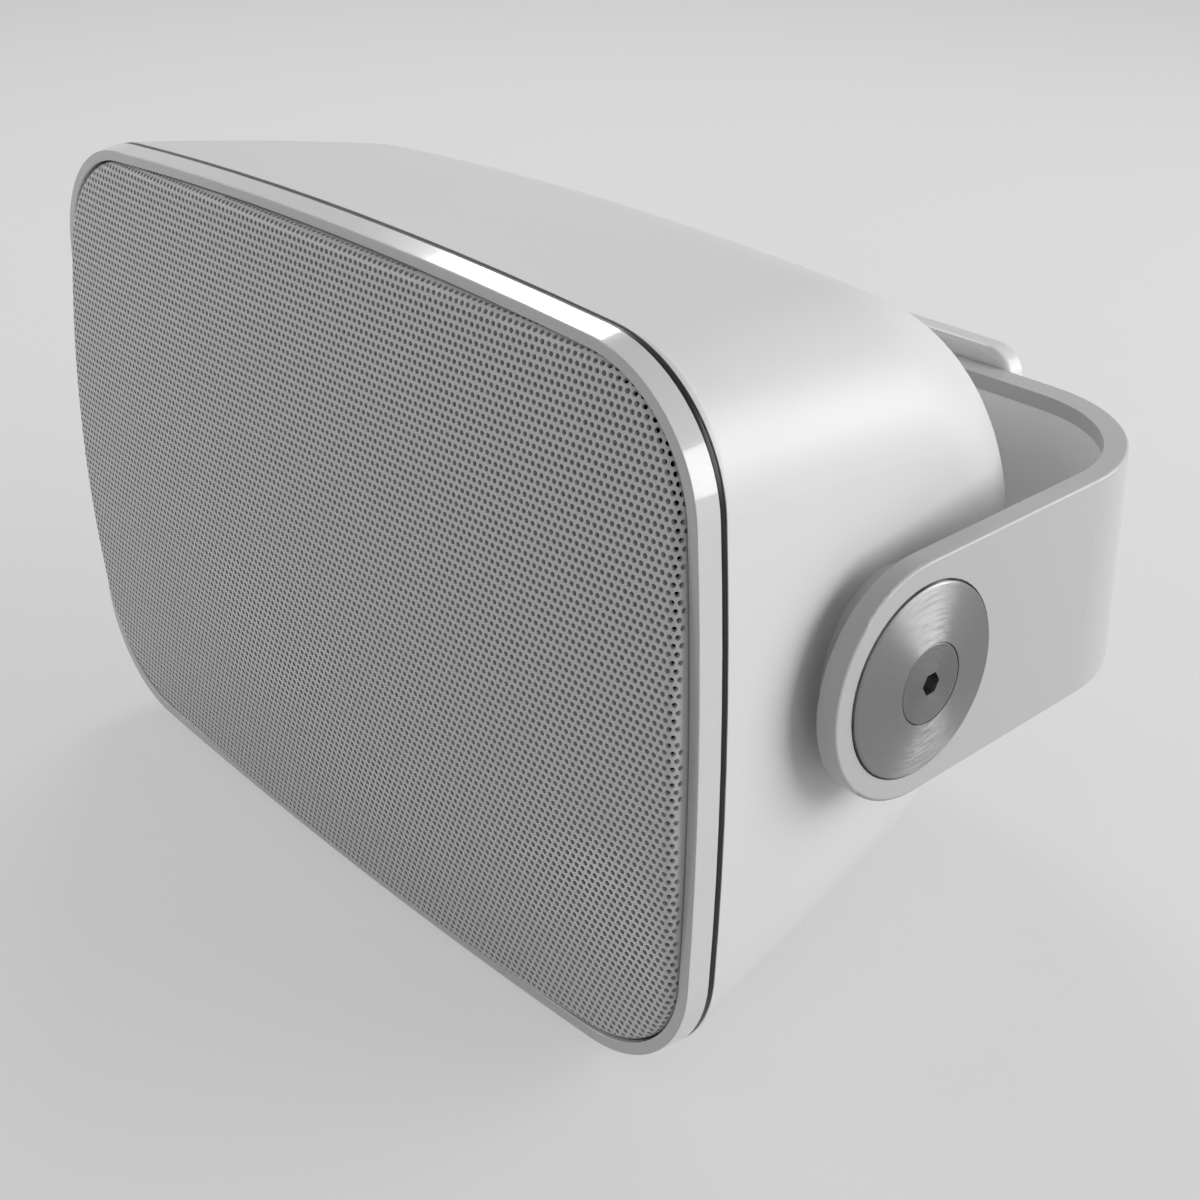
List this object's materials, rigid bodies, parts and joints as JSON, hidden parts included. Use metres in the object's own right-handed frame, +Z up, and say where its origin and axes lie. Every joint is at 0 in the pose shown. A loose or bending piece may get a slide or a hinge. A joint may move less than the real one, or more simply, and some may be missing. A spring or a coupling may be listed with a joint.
{
  "type": "outdoor patio speaker",
  "caption": "Outdoor wall speaker: bullet-shaped cabinet with a domed perforated grille, held at side discs by a U bracket in which it tilts.",
  "frame": {"origin": "centre of the wall plate's back face", "axes": "+X to the right seen from the front, +Y into the wall, +Z up; the tilt axis runs along X"},
  "size_m": [0.2902, 0.1917, 0.1908],
  "materials": {
    "white_cabinet": "satin white moulded plastic",
    "frame_trim": "glossy light grey moulding",
    "seal_rubber": "matt black",
    "black_plastic": "matt black",
    "grille_metal": "satin light grey powder coat",
    "scrim_cloth": "fine grey mesh",
    "white_metal": "satin white powder coat",
    "cover_plastic": "satin white",
    "disc_metal": "turned and brushed",
    "bolt_steel": "fine turned",
    "insert_brass": "plain",
    "washer_nylon": "matt dark nylon",
    "magnet_iron": "plain",
    "cone_plastic": "satin",
    "roll_rubber": "satin",
    "spider_cloth": "doped cloth",
    "dome_metal": "satin",
    "red_plastic": "glossy",
    "button_black": "glossy",
    "board_laminate": "laminate",
    "coil_copper": "enamelled wire",
    "capacitor_film": "film",
    "wadding_fibre": "loose fibre"
  },
  "bodies": {
    "bracket": {"wall_plate": "white_metal", "bracket_strap": "white_metal", "bracket_cover": "cover_plastic", "web_screw_left": "bolt_steel", "web_screw_right": "bolt_steel"},
    "cabinet": {"cabinet_shell": "white_cabinet", "front_frame": "frame_trim", "seam_seal": "seal_rubber", "baffle": "black_plastic", "grille": "grille_metal", "grille_scrim": "scrim_cloth", "woofer_frame": "black_plastic", "woofer_magnet": "magnet_iron", "woofer_surround": "roll_rubber", "woofer_spider": "spider_cloth", "radiator_frame": "black_plastic", "radiator_surround": "roll_rubber", "tweeter_plate": "black_plastic", "tweeter_magnet": "magnet_iron", "tweeter_surround": "roll_rubber", "terminal_cup": "black_plastic", "terminal_body_left": "black_plastic", "terminal_body_right": "black_plastic", "crossover_board": "board_laminate", "crossover_coil": "coil_copper", "crossover_capacitor": "capacitor_film", "wadding": "wadding_fibre", "pivot_disc_left": "disc_metal", "pivot_disc_right": "disc_metal", "pivot_bolt_left": "bolt_steel", "pivot_bolt_right": "bolt_steel", "pivot_spacer_left": "white_cabinet", "pivot_spacer_right": "white_cabinet", "pivot_insert_left": "insert_brass", "pivot_insert_right": "insert_brass", "friction_washer_left": "washer_nylon", "friction_washer_right": "washer_nylon"},
    "woofer_moving": {"woofer_cone": "cone_plastic", "woofer_dust_cap": "cone_plastic"},
    "radiator_moving": {"radiator_cone": "cone_plastic"},
    "tweeter_moving": {"tweeter_dome": "dome_metal"},
    "button_left": {"terminal_button_left": "button_black"},
    "button_right": {"terminal_button_right": "red_plastic"}
  },
  "joints": [
    {"name": "cabinet_tilt", "type": "hinge", "parent": "bracket", "child": "cabinet", "pos_m": [0, -0.117, 0], "axis": [1, 0, 0], "range_deg": [-90, 90]},
    {"name": "woofer_stroke", "type": "slide", "parent": "cabinet", "child": "woofer_moving", "axis": [0, -1, 0], "range_m": [-0.004, 0.004], "stiffness_N_per_m": 1500, "deforming": ["woofer_surround", "woofer_spider"]},
    {"name": "radiator_stroke", "type": "slide", "parent": "cabinet", "child": "radiator_moving", "axis": [0, -1, 0], "range_m": [-0.005, 0.005], "stiffness_N_per_m": 900, "deforming": ["radiator_surround"]},
    {"name": "tweeter_stroke", "type": "slide", "parent": "cabinet", "child": "tweeter_moving", "axis": [0, -1, 0], "range_m": [-0.0003, 0.0003], "stiffness_N_per_m": 3000, "deforming": ["tweeter_surround"]},
    {"name": "button_left_press", "type": "slide", "parent": "cabinet", "child": "button_left", "axis": [0, -1, 0], "range_m": [0, 0.0025], "stiffness_N_per_m": 400},
    {"name": "button_right_press", "type": "slide", "parent": "cabinet", "child": "button_right", "axis": [0, -1, 0], "range_m": [0, 0.0025], "stiffness_N_per_m": 400}
  ]
}
